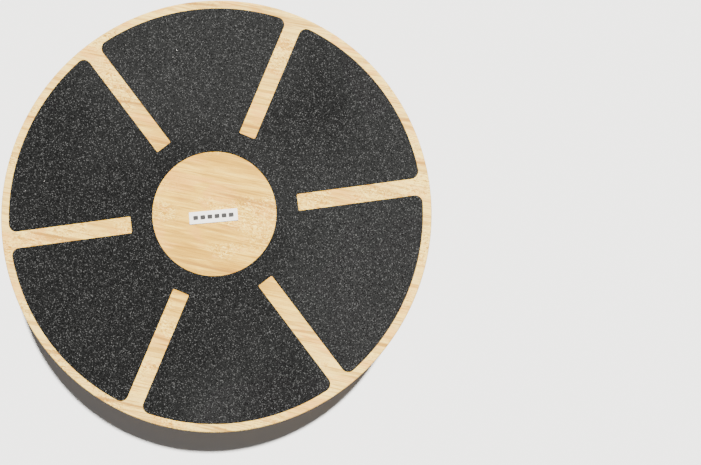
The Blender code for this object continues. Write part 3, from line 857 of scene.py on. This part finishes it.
def collar_mesh():
    """A collar round a screw head, open below, with the seat that the head pulls against."""
    low = FLANGE_FACE - COLLAR_HEIGHT
    seat = low + COUNTERBORE_DEPTH
    top = BASE_TOP - COLLAR_TOP_GAP
    outside = COLLAR_RADIUS + COLLAR_ROUND
    foot = arc(outside, FLANGE_FACE - COLLAR_ROUND, COLLAR_ROUND, math.pi / 2, math.pi, 4)
    rim = arc(COLLAR_RADIUS - COLLAR_ROUND, low + COLLAR_ROUND, COLLAR_ROUND, 0.0, -math.pi / 2, 5)
    mouth = COUNTERBORE_ROUND
    profile = [
        (SHANK_HOLE_RADIUS, top),
        (outside, top),
        *foot,
        *rim,
        *arc(COUNTERBORE_RADIUS + mouth, low + mouth, mouth, -math.pi / 2, -math.pi, 4),
        (COUNTERBORE_RADIUS, seat),
        (SHANK_HOLE_RADIUS, seat),
        (SHANK_HOLE_RADIUS, top),
    ]
    return turned("base_collar", profile, SMALL)


def mark_mesh():
    """The shallow round mark that an ejector pin leaves: a low rim with a slightly sunken middle."""
    rim = FLANGE_FACE - PIN_MARK_RIM_HEIGHT
    middle = FLANGE_FACE - PIN_MARK_MIDDLE_HEIGHT
    rim_outside = PIN_MARK_RADIUS - PIN_MARK_SLOPE
    rim_inside = rim_outside - PIN_MARK_RIM_WIDTH
    profile = [
        (PIN_MARK_RADIUS, FLANGE_FACE + PIN_MARK_SINK),
        (PIN_MARK_RADIUS, FLANGE_FACE - PIN_MARK_SHOULDER),
        (rim_outside, rim),
        (rim_inside, rim),
        (rim_inside - PIN_MARK_SLOPE, middle),
        (0.0, middle),
    ]
    return turned("ejector_mark", profile, SMALL)


def add_base(satin, grained):
    """The base in satin plastic, with a grained skin on the dome. The CAD model has its dome, flange and
    gussets apart.
    """
    add_piece("dome_skin", dome_mesh(), grained, "base_plastic", "rocker_dome", sharp=NONE_SHARP)
    add_piece("neck_and_lip", neck_mesh(), satin, "base_plastic", "rocker_dome", sharp=50)
    add_piece("flange_plate", flange_mesh(), satin, "base_plastic", "base_flange", sharp=PLATE_SHARP)
    for node, angle in zip(GUSSETS, circle_angles(len(GUSSETS), math.pi / len(GUSSETS))):
        add_piece("rounded_" + node, gusset_mesh(angle), satin, "base_plastic", node)
    for index, angle in enumerate(circle_angles(len(SCREWS))):
        collar = collar_mesh()
        collar.transform(Matrix.Translation(around(SCREW_CIRCLE_RADIUS, angle)))
        add_piece(f"screw_collar_{index + 1}", collar, satin, "base_plastic", "base_flange")
        for side, shift in (("a", -PIN_MARK_TURN), ("b", PIN_MARK_TURN)):
            mark = mark_mesh()
            mark.transform(Matrix.Translation(around(PIN_MARK_CIRCLE_RADIUS, angle + shift)))
            add_piece(f"ejector_mark_{index + 1}{side}", mark, satin, "base_plastic", "base_flange")


# ---- screws

def cross_cutter():
    """A cross with leaning walls, which a screwdriver's tip would fill."""
    work = bmesh.new()
    for turn in (0.0, math.pi / 2):
        arm = bmesh.ops.create_cube(work, size=1.0)["verts"]
        for vert in arm:
            taper = 1.0 if vert.co.z < 0.0 else CROSS_TAPER
            vert.co.x *= CROSS_LENGTH * taper
            vert.co.y *= CROSS_WIDTH * taper
            vert.co.z *= 2 * CROSS_DEPTH
        bmesh.ops.rotate(work, verts=arm, matrix=Matrix.Rotation(turn, 3, "Z"))
    mesh = bpy.data.meshes.new("cross_cutter")
    work.to_mesh(mesh)
    work.free()
    return mesh


def screw_mesh():
    """A pan-head screw standing on its head, with the head's seat at height 0 and its point at the top."""
    low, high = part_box(SCREWS[0])
    length = high.z - low.z - HEAD_HEIGHT
    head_radius = (high.x - low.x) / 2
    crown = HEAD_HEIGHT - HEAD_RIM
    crown_angles = np.linspace(0.0, HEAD_CROWN_TURN, 12)
    profile = [
        (0.0, length),
        (SHANK_RADIUS, length - SCREW_POINT),
        (SHANK_RADIUS, 0.0),
        (head_radius - HEAD_BEVEL, 0.0),
        (head_radius, -HEAD_BEVEL),
        *((head_radius * math.cos(a), -HEAD_RIM - crown * math.sin(a)) for a in crown_angles),
        (0.0, -HEAD_HEIGHT),
    ]
    head = bpy.data.objects.new("screw", turned("screw", profile, SMALL))
    cutter = bpy.data.objects.new("cross", cross_cutter())
    cutter.location.z = -HEAD_HEIGHT
    bpy.context.scene.collection.objects.link(cutter)
    boolean = head.modifiers.new("cross", "BOOLEAN")
    boolean.object = cutter
    boolean.use_self = True
    mesh = mesh_of(head)
    bpy.data.objects.remove(cutter, do_unlink=True)
    return mesh


def add_screws(steel):
    pattern = screw_mesh()
    for node, angle in zip(SCREWS, circle_angles(len(SCREWS))):
        low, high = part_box(node)
        middle = (low + high) / 2
        seat = Vector((middle.x, middle.y, low.z + HEAD_HEIGHT))
        mesh = pattern.copy()
        mesh.transform(Matrix.Translation(seat) @ Matrix.Rotation(3 * angle, 4, "Z"))
        add_piece("detailed_" + node, mesh, steel, "screw_steel", node)


# ---- floor, light and camera

def add_floor():
    """A pale floor. It sends no diffuse light up to the board, which keeps the shadow dark and plain."""
    mesh = turned("floor", [(0.0, 0.0), (FLOOR_RADIUS, 0.0)], MEDIUM)
    mesh.flip_normals()
    mesh.materials.append(floor_look())
    floor = bpy.data.objects.new("floor", mesh)
    bpy.context.scene.collection.objects.link(floor)
    floor.visible_diffuse = False


def add_sun():
    """A high, warm sun with slightly soft shadows."""
    direction = around(math.sin(SUN_FROM_ZENITH), SUN_AZIMUTH, math.cos(SUN_FROM_ZENITH))
    light = bpy.data.lights.new("sun", "SUN")
    light.energy = SUN_STRENGTH
    light.angle = SUN_SIZE
    light.color = SUN_COLOR
    lamp = bpy.data.objects.new("sun", light)
    lamp.location = direction * SUN_DISTANCE
    lamp.rotation_euler = direction.to_track_quat("Z", "Y").to_euler()
    bpy.context.scene.collection.objects.link(lamp)


def studio_strength(nodes, links):
    """How bright the studio is in each direction: bright walls, a dim ceiling, and dim below the horizon."""
    direction = nodes.new("ShaderNodeTexCoord")
    height = nodes.new("ShaderNodeSeparateXYZ")
    wall_to_ceiling = nodes.new("ShaderNodeMapRange")
    wall_to_ceiling.interpolation_type = "SMOOTHSTEP"
    wall_to_ceiling.inputs["From Max"].default_value = math.sin(WALL_TOP)
    wall_to_ceiling.inputs["To Min"].default_value = WALL_STRENGTH
    wall_to_ceiling.inputs["To Max"].default_value = CEILING_STRENGTH
    ground_to_wall = nodes.new("ShaderNodeMapRange")
    ground_to_wall.inputs["From Min"].default_value = -HORIZON_BLUR
    ground_to_wall.inputs["From Max"].default_value = 0.0
    ground_to_wall.inputs["To Min"].default_value = GROUND_STRENGTH
    links.new(direction.outputs["Generated"], height.inputs[0])
    links.new(height.outputs["Z"], wall_to_ceiling.inputs["Value"])
    links.new(height.outputs["Z"], ground_to_wall.inputs["Value"])
    links.new(wall_to_ceiling.outputs["Result"], ground_to_wall.inputs["To Max"])
    return ground_to_wall.outputs["Result"]


def add_studio():
    """The pale studio that lights the board, and the plain backdrop that the camera sees instead."""
    world = bpy.data.worlds.new("studio")
    world.use_nodes = True
    nodes = world.node_tree.nodes
    links = world.node_tree.links
    studio = nodes["Background"]
    studio.inputs["Color"].default_value = STUDIO_COLOR
    links.new(studio_strength(nodes, links), studio.inputs["Strength"])
    backdrop = nodes.new("ShaderNodeBackground")
    backdrop.inputs["Color"].default_value = BACKDROP_COLOR
    backdrop.inputs["Strength"].default_value = BACKDROP_STRENGTH
    seen = nodes.new("ShaderNodeLightPath")
    either = nodes.new("ShaderNodeMixShader")
    links.new(seen.outputs["Is Camera Ray"], either.inputs[0])
    links.new(studio.outputs[0], either.inputs[1])
    links.new(backdrop.outputs[0], either.inputs[2])
    links.new(either.outputs[0], nodes["World Output"].inputs["Surface"])
    bpy.context.scene.world = world


def add_camera():
    lens = bpy.data.cameras.new("camera")
    lens.lens = CAMERA_LENS
    lens.clip_start = 0.01
    lens.clip_end = 100.0
    camera = bpy.data.objects.new("camera", lens)
    camera.location = CAMERA_PLACE
    camera.rotation_euler = CAMERA_TURN
    bpy.context.scene.collection.objects.link(camera)
    bpy.context.scene.camera = camera


def main():
    add_camera()
    add_sun()
    add_studio()
    add_floor()
    cores = [core_ply_look("core_ply_across", "Y"), core_ply_look("core_ply_along", "X")]
    add_veneers(birch_look(), back_veneer_look(), cores)
    add_glue_lines(glue_look())
    add_grip(film_look(), grit_look(), grain_look())
    add_label(label_look(), label_ink_look())
    add_base(satin_plastic_look(), dome_look())
    add_screws(steel_look())


main()
